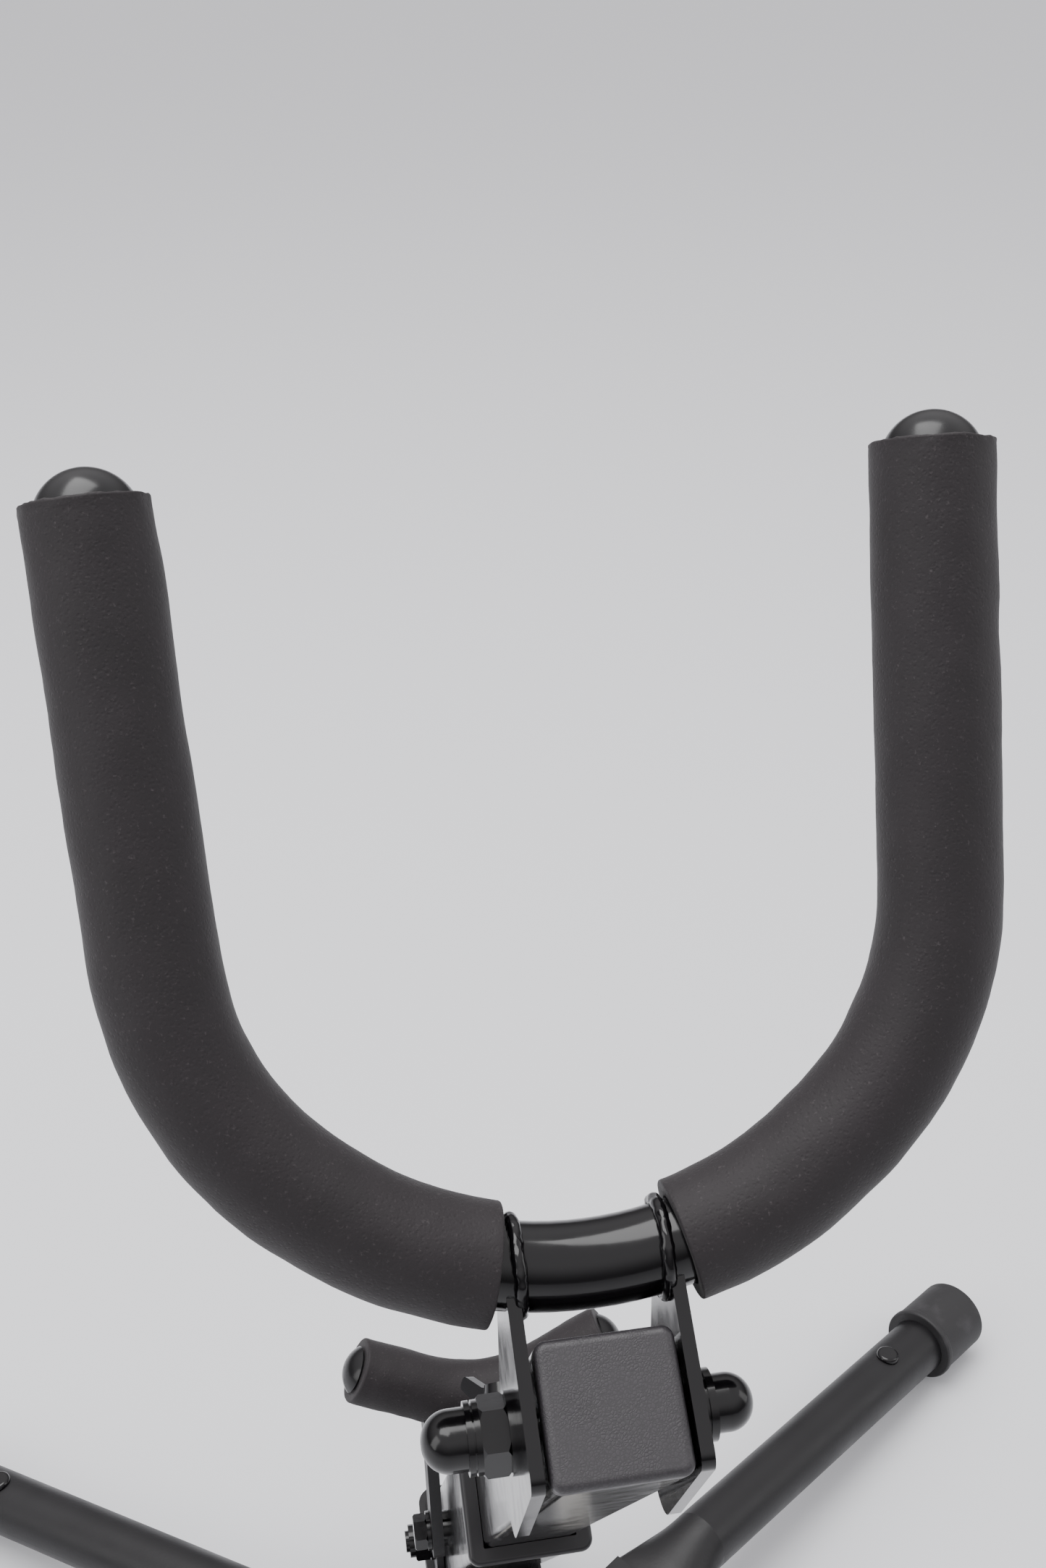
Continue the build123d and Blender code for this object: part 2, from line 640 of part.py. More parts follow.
def leg_tube(extra_hole):
    # round tube whose inner end is pressed flat and bent level
    tang = extrude(SlotCenterPoint((tang_flat / 2, 0), (tang_flat, 0), tang_w), tang_t / 2, both=True)
    tang = tang & box_between((-20, -20, -5), (tang_flat, 20, 5))
    flat_plane = Plane(origin=(tang_flat, 0, 0), x_dir=(0, 1, 0), z_dir=(1, 0, 0))
    flat = flat_plane * RectangleRounded(tang_w, tang_t, tang_t / 2 - 0.05)
    whole = leg_axis_place(tang_flat + tang_blend) * Circle(leg_d / 2)
    blend = loft([flat, whole])
    length = (leg_end - tang_flat - tang_blend) / math.cos(math.radians(leg_slope()))
    straight = extrude(leg_axis_place(tang_flat + tang_blend) * Circle(leg_d / 2), length)
    bore = extrude(leg_axis_place(tang_flat + tang_blend + 1) * Circle(leg_d / 2 - leg_wall), length + 5)
    leg = tang + blend + straight - bore - rod_z(m6_hole_r, -10, 10)
    leg = leg - leg_rivet_place() * rod_z(2.0, 3, 12)
    if extra_hole:
        leg = leg - Pos(front_bolt_gap, 0, 0) * rod_z(m6_hole_r, -10, 10)
    return leg


def leg_rivet_place():
    tilt = leg_slope()
    z = -(rivet_at - tang_flat) * math.tan(math.radians(tilt))
    return Pos(rivet_at, 0, z) * Rot(0, tilt, 0)


def leg_rivet():
    # domed rivet through the upper wall of the tube
    head = rod_z(rivet_head_d / 2, leg_d / 2 - 0.9, leg_d / 2 + 1.5)
    head = fillet(head.edges().sort_by(Axis.Z)[-1], 1.3)
    around = Rot(0, 90, 0) * Cylinder(leg_d / 2 + 0.02, 30)
    shank = rod_z(1.97, leg_d / 2 - 3.0, leg_d / 2)
    return leg_rivet_place() * (head - around + shank)


def leg_boot():
    # moulded rubber cup on the end of the leg, with a bead at its mouth and a flat sole
    length = boot_end - boot_start
    body = rod_z(boot_d / 2, 0, length)
    body = fillet(body.edges().sort_by(Axis.Z)[-1], 1.6)
    bead = rod_z(boot_d / 2 + boot_bead_out, 0, boot_bead_h)
    bead = fillet(bead.edges().filter_by(GeomType.CIRCLE), 0.8)
    socket = rod_z(leg_d / 2 + 0.05, -1, (leg_end - boot_start) / math.cos(math.radians(leg_slope())) + 0.1)
    cup = leg_axis_place(boot_start).location * (body + bead - socket)
    below = box_between((boot_start - 5, -20, -60), (boot_end + 10, 20, -hub_mid_z))
    return cup - below


def leg_place(name):
    if name == "front":
        return Pos(0, front_leg_y, hub_mid_z) * Rot(0, 0, -90)
    side = 1 if name == "right" else -1
    heading = 90 - side * rear_leg_angle
    return Pos(side * leg_pivot_x, leg_pivot_y, hub_mid_z) * Rot(0, 0, heading)


# ---- write every node ----
os.makedirs("parts", exist_ok=True)

write(yoke_frame * yoke_tube(), "yoke_tube")
right_sleeve = yoke_sleeve()
write(yoke_frame * right_sleeve, "yoke_foam_right")
write(yoke_frame * mirror(right_sleeve, Plane.YZ), "yoke_foam_left")
write(yoke_frame * yoke_end_place(1) * yoke_plug(), "yoke_plug_right")
write(yoke_frame * yoke_end_place(-1) * yoke_plug(), "yoke_plug_left")
write(mast_frame * clevis_plate(1), "clevis_plate_right")
write(mast_frame * clevis_plate(-1), "clevis_plate_left")
write(mast_frame * pivot_stud(), "pivot_stud")
write(mast_frame * pivot_washers(), "pivot_washers")
write(mast_frame * jam_nut(), "jam_nut")
write(mast_frame * dome_nut_left(), "dome_nut_left")
write(mast_frame * dome_nut_right(), "dome_nut_right")

write(mast_frame * inner_tube(), "inner_tube")
write(mast_frame * end_cap(), "end_cap")
write(mast_frame * outer_tube(), "outer_tube")
write(mast_frame * outer_tube_plug(), "outer_tube_plug")
write(mast_frame * slide_bush(), "slide_bush")
write(mast_frame * lock_boss(), "lock_boss")
write(mast_frame * wing_screw(), "wing_screw")

write(rest_frame * rest_tube(), "rest_tube")
write(rest_frame * rest_foam(), "rest_foam")
write(rest_frame * rest_end_place(-1) * rest_plug(), "rest_plug_left")
write(rest_frame * rest_end_place(1) * rest_plug(), "rest_plug_right")
write(rest_frame * rest_bar(-1), "rest_bar_left")
write(rest_frame * rest_bar(1), "rest_bar_right")
write(mast_frame * rest_pivot_bolt(), "rest_pivot_bolt")
write(mast_frame * rest_pivot_nut(), "rest_pivot_nut")
write(mast_frame * rest_spacers(), "rest_spacers")
write(mast_frame * rest_washers(), "rest_washers")

write(hub_plate(hub_mid_z + hub_gap / 2), "hub_plate_top")
write(hub_plate(hub_bottom()), "hub_plate_bottom")
write(hub_spacer(), "hub_spacer")
write(mast_bracket(), "mast_bracket")
write(hub_bolts(), "hub_bolts")
write(hub_nuts(), "hub_nuts")
write(leg_pivot_bolts(), "leg_pivot_bolts")
write(leg_pivot_washers(), "leg_pivot_washers")
write(leg_pivot_nuts(), "leg_pivot_nuts")
write(mast_pivot_bolt(), "mast_pivot_bolt")
write(mast_pivot_washers(), "mast_pivot_washers")
write(mast_pivot_nut(), "mast_pivot_nut")

for leg_name, prefix in (("front", "front_leg"), ("left", "rear_leg_left"), ("right", "rear_leg_right")):
    place = leg_place(leg_name)
    write(place * leg_tube(leg_name == "front"), prefix + "_tube")
    write(place * leg_boot(), prefix + "_boot")
    write(place * leg_rivet(), prefix + "_rivet")
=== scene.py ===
import bpy
import json
import math
from mathutils import Matrix, Vector


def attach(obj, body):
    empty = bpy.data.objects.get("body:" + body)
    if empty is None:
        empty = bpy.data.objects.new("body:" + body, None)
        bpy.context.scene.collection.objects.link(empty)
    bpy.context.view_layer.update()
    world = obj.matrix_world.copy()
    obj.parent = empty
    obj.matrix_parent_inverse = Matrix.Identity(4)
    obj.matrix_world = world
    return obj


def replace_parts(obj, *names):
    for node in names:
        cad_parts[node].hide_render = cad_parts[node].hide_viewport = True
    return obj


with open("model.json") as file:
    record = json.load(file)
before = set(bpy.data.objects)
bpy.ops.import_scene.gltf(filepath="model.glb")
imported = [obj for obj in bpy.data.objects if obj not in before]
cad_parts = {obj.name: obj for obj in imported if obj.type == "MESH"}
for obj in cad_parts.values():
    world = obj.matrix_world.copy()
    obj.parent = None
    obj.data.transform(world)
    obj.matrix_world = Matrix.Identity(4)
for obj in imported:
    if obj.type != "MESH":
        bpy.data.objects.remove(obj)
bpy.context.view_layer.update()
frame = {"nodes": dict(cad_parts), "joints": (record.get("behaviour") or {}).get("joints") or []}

joints = {joint["name"]: joint for joint in frame["joints"]}
mm = 0.001


# ---- Hub plates, spacer, mast bracket and leg tubes ----
# Pressed steel plate and welded steel tube, powder coated satin black after pressing.
# The coat is sprayed as dust and baked, which leaves a fine dimpled skin and soft wide highlights.
def linear(code):
    # one hex colour as it is seen, turned into the linear value that a shader wants
    parts = [int(code[i:i + 2], 16) / 255 for i in (0, 2, 4)]
    return tuple(p / 12.92 if p <= 0.04045 else ((p + 0.055) / 1.055) ** 2.4 for p in parts) + (1.0,)


def add(material, kind, settings=None, links=None):
    # one node with its settings, its inputs fed by values or by other nodes' outputs
    node = material.node_tree.nodes.new(kind)
    for key, value in (settings or {}).items():
        setattr(node, key, value)
    for key, value in (links or {}).items():
        if isinstance(value, bpy.types.NodeSocket):
            material.node_tree.links.new(value, node.inputs[key])
        else:
            node.inputs[key].default_value = value
    return node


def start_material(name):
    # an empty material with its output and a coordinate source in metres
    material = bpy.data.materials.new(name)
    material.use_nodes = True
    material.node_tree.nodes.clear()
    output = add(material, "ShaderNodeOutputMaterial")
    place = add(material, "ShaderNodeTexCoord").outputs["Object"]
    return material, output, place


def coat(nodes, material):
    # lays a material on every slot of the named frame parts
    for name in nodes:
        part = frame["nodes"][name]
        if not part.data.materials:
            part.data.materials.append(material)
        for i in range(len(part.data.materials)):
            part.data.materials[i] = material


def satin_black(name, colour, rough, dimple_mm, depth):
    # near-black satin skin, dimpled finely, a little uneven in sheen from place to place
    material, output, place = start_material(name)
    dimple = add(material, "ShaderNodeTexNoise", None,
                 {"Vector": place, "Scale": 1 / (dimple_mm * mm), "Detail": 3.0, "Roughness": 0.55})
    patch = add(material, "ShaderNodeTexNoise", None,
                {"Vector": place, "Scale": 1 / (14 * mm), "Detail": 2.0})
    shade = add(material, "ShaderNodeMapRange", None,
                {"Value": patch.outputs["Fac"], "From Min": 0.3, "From Max": 0.7,
                 "To Min": rough - 0.05, "To Max": rough + 0.07})
    tint = add(material, "ShaderNodeMix", {"data_type": "RGBA"},
               {"Factor": patch.outputs["Fac"], "A": linear(colour), "B": linear("1a191b")})
    bump = add(material, "ShaderNodeBump", None,
               {"Height": dimple.outputs["Fac"], "Strength": depth, "Distance": 0.12 * mm})
    shader = add(material, "ShaderNodeBsdfPrincipled", None,
                 {"Base Color": tint.outputs["Result"], "Roughness": shade.outputs["Result"],
                  "Normal": bump.outputs["Normal"], "IOR": 1.5, "Specular IOR Level": 0.35})
    material.node_tree.links.new(shader.outputs["BSDF"], output.inputs["Surface"])
    return material


satin_powder = satin_black("satin_black_powder_coat", "0f0e10", 0.42, 0.9, 0.30)
hub_steel = ["hub_plate_top", "hub_plate_bottom", "hub_spacer", "mast_bracket"]
leg_steel = ["front_leg_tube", "rear_leg_left_tube", "rear_leg_right_tube"]
rest_steel = ["rest_tube", "rest_bar_left", "rest_bar_right"]
coat(hub_steel + leg_steel + rest_steel, satin_powder)


# ---- Rubber boots ----
# Injection-moulded black rubber cups pushed over the leg ends.
# Rubber is dull and slightly grey where it is handled, with a fine spark-eroded mould texture.
def moulded_rubber():
    material, output, place = start_material("moulded_black_rubber")
    grain = add(material, "ShaderNodeTexNoise", None,
                {"Vector": place, "Scale": 1 / (0.6 * mm), "Detail": 4.0, "Roughness": 0.6})
    dust = add(material, "ShaderNodeTexNoise", None, {"Vector": place, "Scale": 1 / (7 * mm), "Detail": 5.0})
    dusty = add(material, "ShaderNodeMapRange", None,
                {"Value": dust.outputs["Fac"], "From Min": 0.52, "From Max": 0.75,
                 "To Min": 0.0, "To Max": 0.5})
    colour = add(material, "ShaderNodeMix", {"data_type": "RGBA"},
                 {"Factor": dusty.outputs["Result"], "A": linear("1a191b"), "B": linear("39373a")})
    bump = add(material, "ShaderNodeBump", None,
               {"Height": grain.outputs["Fac"], "Strength": 0.35, "Distance": 0.15 * mm})
    shader = add(material, "ShaderNodeBsdfPrincipled", None,
                 {"Base Color": colour.outputs["Result"], "Roughness": 0.62, "Normal": bump.outputs["Normal"],
                  "IOR": 1.52})
    material.node_tree.links.new(shader.outputs["BSDF"], output.inputs["Surface"])
    return material


coat(["front_leg_boot", "rear_leg_left_boot", "rear_leg_right_boot"], moulded_rubber())


# ---- Hub fasteners ----
# Zinc-plated M6 bolts, lock nuts and washers, barrel plated, so the bright grey is slightly cloudy.
def plated(name, colour, rough, metal):
    material, output, place = start_material(name)
    cloud = add(material, "ShaderNodeTexNoise", None,
                {"Vector": place, "Scale": 1 / (3 * mm), "Detail": 4.0, "Roughness": 0.6})
    fine = add(material, "ShaderNodeTexNoise", None,
               {"Vector": place, "Scale": 1 / (0.35 * mm), "Detail": 2.0})
    shade = add(material, "ShaderNodeMapRange", None,
                {"Value": cloud.outputs["Fac"], "From Min": 0.3, "From Max": 0.7,
                 "To Min": rough * 0.75, "To Max": rough * 1.35})
    bump = add(material, "ShaderNodeBump", None,
               {"Height": fine.outputs["Fac"], "Strength": 0.10, "Distance": 0.05 * mm})
    shader = add(material, "ShaderNodeBsdfPrincipled", None,
                 {"Base Color": linear(colour), "Metallic": metal, "Roughness": shade.outputs["Result"],
                  "Normal": bump.outputs["Normal"]})
    material.node_tree.links.new(shader.outputs["BSDF"], output.inputs["Surface"])
    return material


zinc = plated("clear_zinc_plating", "b9b7b2", 0.30, 1.0)
coat(["hub_bolts", "hub_nuts", "leg_pivot_bolts", "leg_pivot_washers", "leg_pivot_nuts"], zinc)


# ---- Black fasteners: yoke stud, nuts, rivets, wing screw, rest bolt, mast pivot ----
# Steel blackened and lacquered to a deep gloss, so each one carries sharp small highlights.
def gloss_black(name, rough, ripple_mm, depth):
    # deep black gloss with a slow ripple and a few grey specks of dust
    material, output, place = start_material(name)
    ripple = add(material, "ShaderNodeTexNoise", None,
                 {"Vector": place, "Scale": 1 / (ripple_mm * mm), "Detail": 2.0, "Roughness": 0.45})
    dust = add(material, "ShaderNodeTexNoise", None,
               {"Vector": place, "Scale": 1 / (1.1 * mm), "Detail": 6.0, "Roughness": 0.75})
    specks = add(material, "ShaderNodeMapRange", None,
                 {"Value": dust.outputs["Fac"], "From Min": 0.66, "From Max": 0.74,
                  "To Min": 0.0, "To Max": 0.22})
    colour = add(material, "ShaderNodeMix", {"data_type": "RGBA"},
                 {"Factor": specks.outputs["Result"], "A": linear("09080a"), "B": linear("4a4747")})
    shade = add(material, "ShaderNodeMapRange", None,
                {"Value": ripple.outputs["Fac"], "From Min": 0.3, "From Max": 0.7,
                 "To Min": rough * 0.8, "To Max": rough * 1.3})
    bump = add(material, "ShaderNodeBump", None,
               {"Height": ripple.outputs["Fac"], "Strength": depth, "Distance": 0.10 * mm})
    shader = add(material, "ShaderNodeBsdfPrincipled", None,
                 {"Base Color": colour.outputs["Result"], "Roughness": shade.outputs["Result"],
                  "Normal": bump.outputs["Normal"], "IOR": 1.5, "Specular IOR Level": 0.36,
                  "Coat Weight": 0.05, "Coat Roughness": 0.04})
    material.node_tree.links.new(shader.outputs["BSDF"], output.inputs["Surface"])
    return material


fastener_black = gloss_black("black_lacquered_steel", 0.16, 2.0, 0.05)
yoke_fasteners = ["pivot_stud", "pivot_washers", "jam_nut", "dome_nut_left", "dome_nut_right"]
rest_fasteners = ["rest_pivot_bolt", "rest_pivot_nut", "rest_spacers", "rest_washers"]
mast_fasteners = ["wing_screw", "mast_pivot_bolt", "mast_pivot_nut", "mast_pivot_washers"]
leg_rivets = ["front_leg_rivet", "rear_leg_left_rivet", "rear_leg_right_rivet"]
coat(yoke_fasteners + rest_fasteners + mast_fasteners + leg_rivets, fastener_black)


# ---- Mast tubes, yoke tube, clevis plates and lock boss ----
# Welded steel tube and plate dipped in gloss black enamel. It flows before it sets, so it mirrors the
# room with a slow orange-peel waver.
gloss_enamel = gloss_black("gloss_black_enamel", 0.13, 4.5, 0.10)
coat(["inner_tube", "outer_tube", "lock_boss"], gloss_enamel)
coat(["yoke_tube", "clevis_plate_left", "clevis_plate_right"], gloss_enamel)


# ---- Weld beads ----
# The clevis plates are welded to the yoke tube, and the lock boss to the outer tube, before enamelling.
# A bead is a ring of frozen ripples, softened by the enamel over it.
def deselect():
    if bpy.context.object and bpy.context.object.mode != "OBJECT":
        bpy.ops.object.mode_set(mode="OBJECT")
    bpy.ops.object.select_all(action="DESELECT")


def make_lumpy(piece, size, amount, where=""):
    # unevenness of a soft extrusion, all over or only in a named vertex group
    waver = bpy.data.textures.new(piece.name + "_waver", "CLOUDS")
    waver.noise_scale = size
    waver.noise_depth = 1
    push = piece.modifiers.new("waver", "DISPLACE")
    push.texture = waver
    push.strength = amount
    push.mid_level = 0.5
    push.vertex_group = where
    bpy.ops.object.modifier_apply(modifier=push.name)
    bpy.data.textures.remove(waver)


def weld_bead(name, body, centre, across, ring, bead):
    # a rippled ring round a joint, its plane across the given direction
    deselect()
    bpy.ops.mesh.primitive_torus_add(major_radius=ring, minor_radius=bead,
                                     major_segments=120, minor_segments=16)
    piece = bpy.context.object
    piece.name = name
    turn = Vector((0, 0, 1)).rotation_difference(across).to_matrix().to_4x4()
    piece.data.transform(Matrix.Translation(centre) @ turn)
    make_lumpy(piece, 1.6 * mm, 0.5 * mm)
    bpy.ops.object.shade_smooth_by_angle(angle=math.radians(60))
    piece.data.materials.append(gloss_enamel)
    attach(piece, body)
    return piece


yoke_pivot = Vector(joints["yoke_tilt"]["pos_m"])
yoke_lean = math.radians(27.0)
yoke_turn = Matrix.Translation(yoke_pivot) @ Matrix.Rotation(-yoke_lean, 4, "X")
yoke_tube_radius = 6.35 * mm
yoke_bottom = 23.25
yoke_base_bend = 58.0
base_radius = yoke_base_bend * mm
base_centre_z = (yoke_bottom + yoke_base_bend) * mm
plate_face_x = 10.75 * mm
plate_face_z = base_centre_z - math.sqrt(base_radius ** 2 - plate_face_x ** 2)
for side, hand in ((-1, "left"), (1, "right")):
    spot = yoke_turn @ Vector((side * (plate_face_x - 0.2 * mm), 0, plate_face_z))
    weld_bead("clevis_weld_" + hand, "yoke", spot, Vector((1, 0, 0)), yoke_tube_radius + 0.3 * mm, 1.0 * mm)
lock_axis = Vector(joints["height_lock_turn"]["axis"])
lock_height = 20.0
outer_tube_half = 12.5
boss_foot = Vector(joints["height_lock_turn"]["pos_m"]) - lock_axis * (lock_height - outer_tube_half) * mm
weld_bead("lock_boss_weld", "mast", boss_foot, lock_axis, 6.3 * mm, 1.0 * mm)


# ---- Slide bush and mast end plug ----
# Moulded black nylon, smooth and slightly waxy, with faint flow marks.
nylon = satin_black("moulded_black_nylon", "1b1a1c", 0.34, 2.2, 0.10)
coat(["slide_bush", "outer_tube_plug"], nylon)


# ---- End cap ----
# Square ABS plug moulded in a leather-grained tool: small low pebbles with fine creases between them,
# a little shinier on the tops where it has been handled.
def grained_abs():
    material, output, place = start_material("leather_grained_black_abs")
    wobble = add(material, "ShaderNodeTexNoise", None,
                 {"Vector": place, "Scale": 1 / (1.4 * mm), "Detail": 2.0})
    shifted = add(material, "ShaderNodeMix", {"data_type": "VECTOR"},
                  {"Factor": 0.0006, "A": place, "B": wobble.outputs["Color"]})
    pebble = add(material, "ShaderNodeTexVoronoi", {"feature": "DISTANCE_TO_EDGE"},
                 {"Vector": shifted.outputs[1], "Scale": 1 / (0.5 * mm)})
    crease = add(material, "ShaderNodeMapRange", {"interpolation_type": "SMOOTHSTEP"},
                 {"Value": pebble.outputs["Distance"], "From Min": 0.0, "From Max": 0.28,
                  "To Min": 0.0, "To Max": 1.0})
    fine = add(material, "ShaderNodeTexNoise", None,
               {"Vector": place, "Scale": 1 / (0.25 * mm), "Detail": 3.0})
    height = add(material, "ShaderNodeMath", {"operation": "MULTIPLY_ADD"},
                 {0: fine.outputs["Fac"], 1: 0.35, 2: crease.outputs["Result"]})
    handled = add(material, "ShaderNodeTexNoise", None,
                  {"Vector": place, "Scale": 1 / (5 * mm), "Detail": 3.0})
    shade = add(material, "ShaderNodeMapRange", None,
                {"Value": handled.outputs["Fac"], "From Min": 0.3, "From Max": 0.7,
                 "To Min": 0.40, "To Max": 0.58})
    depth = add(material, "ShaderNodeMapRange", None,
                {"Value": handled.outputs["Fac"], "From Min": 0.4, "From Max": 0.65,
                 "To Min": 0.08, "To Max": 0.30})
    # the creases are painted a shade darker than the pebble tops: painted shade in the hollows of the grain
    colour = add(material, "ShaderNodeMix", {"data_type": "RGBA"},
                 {"Factor": crease.outputs["Result"], "A": linear("242225"), "B": linear("2c292d")})
    bump = add(material, "ShaderNodeBump", None,
               {"Height": height.outputs["Value"], "Strength": depth.outputs["Result"],
                "Distance": 0.10 * mm})
    shader = add(material, "ShaderNodeBsdfPrincipled", None,
                 {"Base Color": colour.outputs["Result"], "Roughness": shade.outputs["Result"],
                  "Normal": bump.outputs["Normal"], "IOR": 1.53})
    material.node_tree.links.new(shader.outputs["BSDF"], output.inputs["Surface"])
    return material


coat(["end_cap"], grained_abs())


# ---- Tube end plugs ----
# Domed polyethylene plugs, polished in the mould, so the dome has one clear soft highlight.
plug_plastic = gloss_black("polished_black_polyethylene", 0.24, 5.0, 0.06)
coat(["yoke_plug_left", "yoke_plug_right", "rest_plug_left", "rest_plug_right"], plug_plastic)


# ---- Foam sleeves on the yoke ----
# Extruded closed-cell foam hose, cut to length and pushed over the bent tube. The skin is fine-grained
# and dull, a little lumpy, and wrinkled where the hose is squeezed inside a bend.
def closed_cell_foam():
    material, output, place = start_material("closed_cell_black_foam")
    cell = add(material, "ShaderNodeTexNoise", None,
               {"Vector": place, "Scale": 1 / (0.6 * mm), "Detail": 4.0, "Roughness": 0.65})
    pore = add(material, "ShaderNodeTexVoronoi", None, {"Vector": place, "Scale": 1 / (0.7 * mm)})
    pit = add(material, "ShaderNodeMapRange", {"interpolation_type": "SMOOTHSTEP"},
              {"Value": pore.outputs["Distance"], "From Min": 0.10, "From Max": 0.45,
               "To Min": 0.0, "To Max": 1.0})
    patch = add(material, "ShaderNodeTexNoise", None, {"Vector": place, "Scale": 1 / (9 * mm), "Detail": 3.0})
    height = add(material, "ShaderNodeMath", {"operation": "MULTIPLY_ADD"},
                 {0: pit.outputs["Result"], 1: 0.45, 2: cell.outputs["Fac"]})
    # pale specks on the highest cells of the grain: painted glints standing in for light catching the cell
    # tops
    painted_glint = add(material, "ShaderNodeMapRange", None,
                {"Value": cell.outputs["Fac"], "From Min": 0.60, "From Max": 0.74,
                 "To Min": 0.0, "To Max": 0.30})
    ground = add(material, "ShaderNodeMix", {"data_type": "RGBA"},
                 {"Factor": patch.outputs["Fac"], "A": linear("161214"), "B": linear("201b1e")})
    colour = add(material, "ShaderNodeMix", {"data_type": "RGBA"},
                 {"Factor": painted_glint.outputs["Result"], "A": ground.outputs["Result"], "B": linear("5a5456")})
    bump = add(material, "ShaderNodeBump", None,
               {"Height": height.outputs["Value"], "Strength": 0.50, "Distance": 0.14 * mm})
    shader = add(material, "ShaderNodeBsdfPrincipled", None,
                 {"Base Color": colour.outputs["Result"], "Roughness": 0.66, "Normal": bump.outputs["Normal"],
                  "Sheen Weight": 0.04, "Sheen Roughness": 0.5, "IOR": 1.42})
    material.node_tree.links.new(shader.outputs["BSDF"], output.inputs["Surface"])
    return material


foam = closed_cell_foam()
foam_radius = 9.0 * mm
foam_wall = 2.55 * mm
foam_lip = 0.9 * mm
ragged_end = 2.4 * mm
plug_clear = 7.3 * mm
yoke_half_span = 59.5 * mm
yoke_tube_top = 135.5 * mm
yoke_splay = math.radians(2.8)
yoke_base_slope = math.radians(38.0)
corner_radius = 48.5 * mm
clevis_half = 13.65 * mm


def start_ring(name, radius, centre, direction, sides):
    # an open ring of edges across the given direction, left in edit mode and selected
    deselect()
    bpy.ops.mesh.primitive_circle_add(vertices=sides, radius=radius, location=(0, 0, 0))
    piece = bpy.context.object
    piece.name = name
    turn = Vector((0, 0, 1)).rotation_difference(direction).to_matrix().to_4x4()
    piece.data.transform(Matrix.Translation(centre) @ turn)
    bpy.ops.object.mode_set(mode="EDIT")
    bpy.ops.mesh.select_all(action="SELECT")
    return piece


def run_straight(direction, length, steps):
    for _ in range(steps):
        bpy.ops.mesh.extrude_region_move(TRANSFORM_OT_translate={"value": direction * (length / steps)})


def close_sleeve(piece, wall, cut_round):
    # turns the open tube into a walled sleeve with softened cut ends
    bpy.ops.mesh.select_all(action="SELECT")
    bpy.ops.mesh.remove_doubles(threshold=0.00001)
    bpy.ops.mesh.normals_make_consistent(inside=False)
    bpy.ops.object.mode_set(mode="OBJECT")
    shell = piece.modifiers.new("wall", "SOLIDIFY")
    shell.thickness = wall
    shell.offset = -1
    bpy.ops.object.modifier_apply(modifier=shell.name)
    edge = piece.modifiers.new("cut_edge", "BEVEL")
    edge.width = cut_round
    edge.segments = 3
    edge.limit_method = "ANGLE"
    edge.angle_limit = math.radians(50)
    bpy.ops.object.modifier_apply(modifier=edge.name)


def open_mouth(piece, mouth, out, bore, depth):
    # the sleeve's end opens round the plug's head, and its cut edge is marked for roughening
    edge = piece.vertex_groups.new(name="cut_edge")
    for vertex in piece.data.vertices:
        step = vertex.co - mouth
        below = -step.dot(out)
        if below > 3 * depth:
            continue
        edge.add([vertex.index], max(0.0, 1.0 - below / (2 * depth)), "REPLACE")
        across = step + out * below
        if below < depth and across.length < bore:
            vertex.co += across.normalized() * (bore - across.length)


def yoke_sleeve(name, side):
    down = Vector((-side * math.sin(yoke_splay), 0, -math.cos(yoke_splay)))
    top = Vector((side * yoke_half_span, 0, yoke_tube_top)) - down * foam_lip
    slope_end = Vector((side * base_radius * math.sin(yoke_base_slope), 0,
                        base_centre_z - base_radius * math.cos(yoke_base_slope)))
    inward = Vector((-side * math.cos(yoke_base_slope), 0, -math.sin(yoke_base_slope)))
    arm_across = Vector((-side * math.cos(yoke_splay), 0, math.sin(yoke_splay)))
    run_across = Vector((-side * math.sin(yoke_base_slope), 0, math.cos(yoke_base_slope)))
    # the arm and the lower run meet the corner arc at its two ends
    gap = slope_end - top + corner_radius * (run_across - arm_across)
    span = down.x * inward.z - down.z * inward.x
    arm_length = (gap.x * inward.z - gap.z * inward.x) / span
    run_length = (down.x * gap.z - down.z * gap.x) / span
    corner = top + down * arm_length + arm_across * corner_radius
    turn = math.pi / 2 - yoke_splay - yoke_base_slope
    stop = math.asin(clevis_half / base_radius)
    piece = start_ring(name, foam_radius, top, down, 72)
    run_straight(down, ragged_end, 6)
    run_straight(down, arm_length - ragged_end, 36)
    bpy.ops.mesh.spin(steps=26, angle=-side * turn, center=corner, axis=(0, 1, 0))
    run_straight(inward, run_length, 2)
    bpy.ops.mesh.spin(steps=16, angle=-side * (yoke_base_slope - stop),
                      center=(0, 0, base_centre_z), axis=(0, 1, 0))
    close_sleeve(piece, foam_wall, 0.35 * mm)
    open_mouth(piece, top, -down, plug_clear, 1.2 * mm)
    make_lumpy(piece, 1.6 * mm, 0.45 * mm, "cut_edge")
    piece.data.transform(yoke_turn)
    make_lumpy(piece, 14 * mm, 0.5 * mm)
    make_lumpy(piece, 4 * mm, 0.18 * mm)
    bpy.ops.object.shade_smooth_by_angle(angle=math.radians(40))
    piece.data.materials.append(foam)
    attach(piece, "yoke")
    return piece


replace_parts(yoke_sleeve("foam_sleeve_right", 1), "yoke_foam_right")
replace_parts(yoke_sleeve("foam_sleeve_left", -1), "yoke_foam_left")


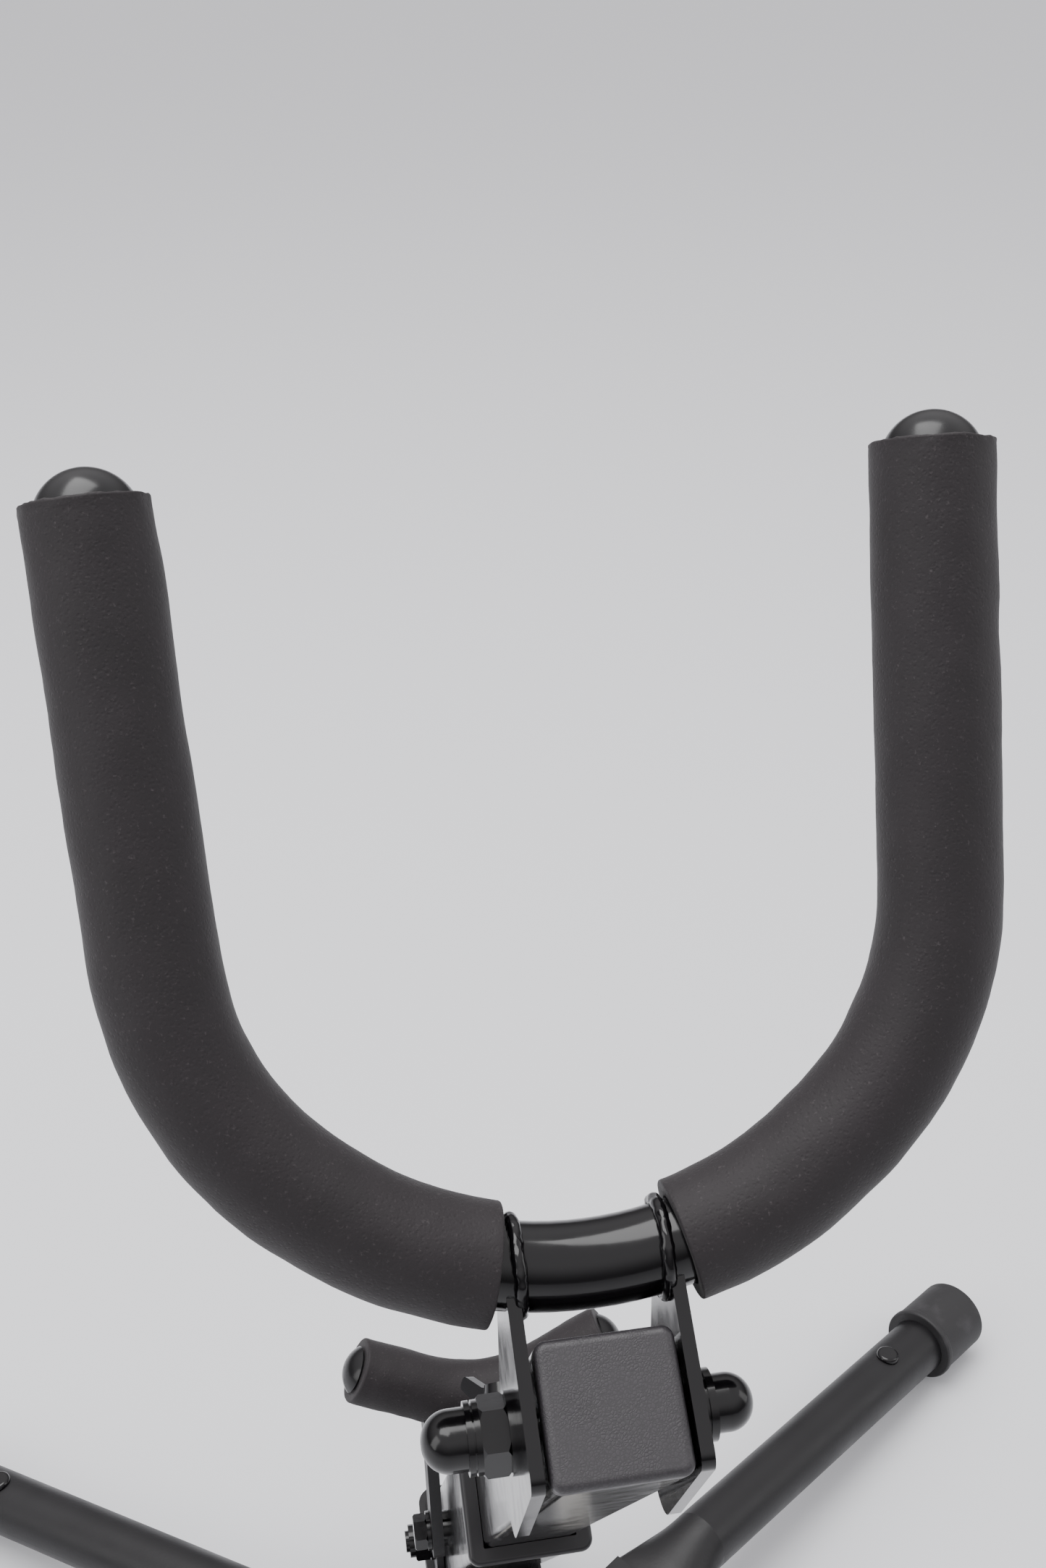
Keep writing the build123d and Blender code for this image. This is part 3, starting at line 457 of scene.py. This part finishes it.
# ---- Foam sleeve on the lower rest ----
# One length of a thinner foam hose, threaded over the V of the rest before its ends are plugged, and
# slit from below where the two flat bars come up to the tube.
rest_foam_radius = 8.25 * mm
rest_foam_wall = 3.4 * mm
rest_end_x = 33.0 * mm
rest_slope = math.radians(27.0)
mast_pitch = 56.5
rest_raise = 43.2
rest_lean = math.radians(mast_pitch + rest_raise - 90.0)
rest_reach = 44.0
rest_bend = 35.0
rest_bend_radius = rest_bend * mm
rest_bend_centre_z = (rest_reach + rest_bend) * mm
bar_middle_x = 15.5 * mm
bar_slit = (3.3 * mm, 14.3 * mm, 18.0 * mm)
bar_top_z = 49.5 * mm
rest_pivot = Vector(joints["rest_swing"]["pos_m"])


def cut_slit(piece, x):
    # a bar's slot, cut up into the sleeve from below
    deselect()
    bpy.ops.mesh.primitive_cube_add(size=1.0, location=(x, 0, bar_top_z - bar_slit[2] / 2), scale=bar_slit)
    cutter = bpy.context.object
    deselect()
    bpy.context.view_layer.objects.active = piece
    piece.select_set(True)
    cut = piece.modifiers.new("slit", "BOOLEAN")
    cut.operation = "DIFFERENCE"
    cut.object = cutter
    bpy.ops.object.modifier_apply(modifier=cut.name)
    bpy.data.objects.remove(cutter)


def rest_sleeve(name):
    knee_x = rest_bend_radius * math.sin(rest_slope)
    knee_z = rest_bend_centre_z - rest_bend_radius * math.cos(rest_slope)
    end_z = knee_z + (rest_end_x - knee_x) * math.tan(rest_slope)
    arm = (rest_end_x - knee_x) / math.cos(rest_slope)
    left_end = Vector((-rest_end_x, 0, end_z))
    fall = Vector((math.cos(rest_slope), 0, -math.sin(rest_slope)))
    rise = Vector((math.cos(rest_slope), 0, math.sin(rest_slope)))
    piece = start_ring(name, rest_foam_radius, left_end, fall, 72)
    run_straight(fall, arm, 24)
    bpy.ops.mesh.spin(steps=30, angle=2 * rest_slope, center=(0, 0, rest_bend_centre_z), axis=(0, 1, 0))
    run_straight(rise, arm, 24)
    close_sleeve(piece, rest_foam_wall, 0.5 * mm)
    cut_slit(piece, -bar_middle_x)
    cut_slit(piece, bar_middle_x)
    piece.data.transform(Matrix.Translation(rest_pivot) @ Matrix.Rotation(-rest_lean, 4, "X"))
    make_lumpy(piece, 11 * mm, 0.5 * mm)
    make_lumpy(piece, 3.5 * mm, 0.2 * mm)
    bpy.ops.object.shade_smooth_by_angle(angle=math.radians(40))
    piece.data.materials.append(foam)
    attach(piece, "lower_rest")
    return piece


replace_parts(rest_sleeve("foam_sleeve_rest"), "rest_foam")


# ---- Floor, lights and camera ----
# A pale seamless sweep under broad soft light from above and both sides.
deselect()
bpy.ops.mesh.primitive_plane_add(size=24.0, location=(0, 0, 0))
floor = bpy.context.object
floor.name = "studio_floor"
floor_paper = bpy.data.materials.new("pale_paper_sweep")
floor_paper.use_nodes = True
floor_paper.node_tree.nodes["Principled BSDF"].inputs["Base Color"].default_value = linear("dcdde0")
floor_paper.node_tree.nodes["Principled BSDF"].inputs["Roughness"].default_value = 0.85
floor.data.materials.append(floor_paper)


def softbox(name, place, aim, size, watts):
    light = bpy.data.lights.new(name, "AREA")
    light.shape = "RECTANGLE"
    light.size = size[0]
    light.size_y = size[1]
    light.energy = watts
    lamp = bpy.data.objects.new(name, light)
    bpy.context.scene.collection.objects.link(lamp)
    lamp.location = place
    lamp.rotation_mode = "QUATERNION"
    lamp.rotation_quaternion = (Vector(aim) - Vector(place)).to_track_quat("-Z", "Y")
    return lamp


softbox("overhead_softbox", (-0.25, 0.15, 1.7), (0, 0, 0.2), (1.3, 1.0), 26)
softbox("left_softbox", (-1.4, -0.5, 0.9), (0, 0, 0.25), (0.7, 1.1), 7)
softbox("right_softbox", (1.5, -0.2, 0.8), (0, 0, 0.25), (0.6, 1.1), 4)

# the ceiling is bright and the walls are dimmer, so black gloss keeps its depth
world = bpy.data.worlds.new("bright_ceiling_room")
world.use_nodes = True
facing = add(world, "ShaderNodeTexCoord").outputs["Generated"]
height = add(world, "ShaderNodeSeparateXYZ", None, {"Vector": facing}).outputs["Z"]
ceiling = add(world, "ShaderNodeMapRange", {"interpolation_type": "SMOOTHSTEP"},
              {"Value": height, "From Min": 0.05, "From Max": 0.75, "To Min": 0.28, "To Max": 1.70})
background = world.node_tree.nodes["Background"]
background.inputs["Color"].default_value = linear("e6e4e6")
world.node_tree.links.new(ceiling.outputs["Result"], background.inputs["Strength"])
bpy.context.scene.world = world

camera_data = bpy.data.cameras.new("camera")
camera = bpy.data.objects.new("camera", camera_data)
bpy.context.scene.collection.objects.link(camera)
camera_data.lens = 40.1
camera_data.sensor_width = 36.0
camera_data.clip_start = 0.01
camera_pitch = math.radians(30.9)
camera_yaw = math.radians(8.82)
camera_roll = math.radians(0.84)
eye = yoke_pivot + Vector((-0.0358, -0.1659, 0.2087))
turned = (Matrix.Rotation(-camera_yaw, 4, "Z") @ Matrix.Rotation(math.pi / 2 - camera_pitch, 4, "X")
          @ Matrix.Rotation(-camera_roll, 4, "Z"))
camera.matrix_world = Matrix.Translation(eye) @ turned
bpy.context.scene.camera = camera
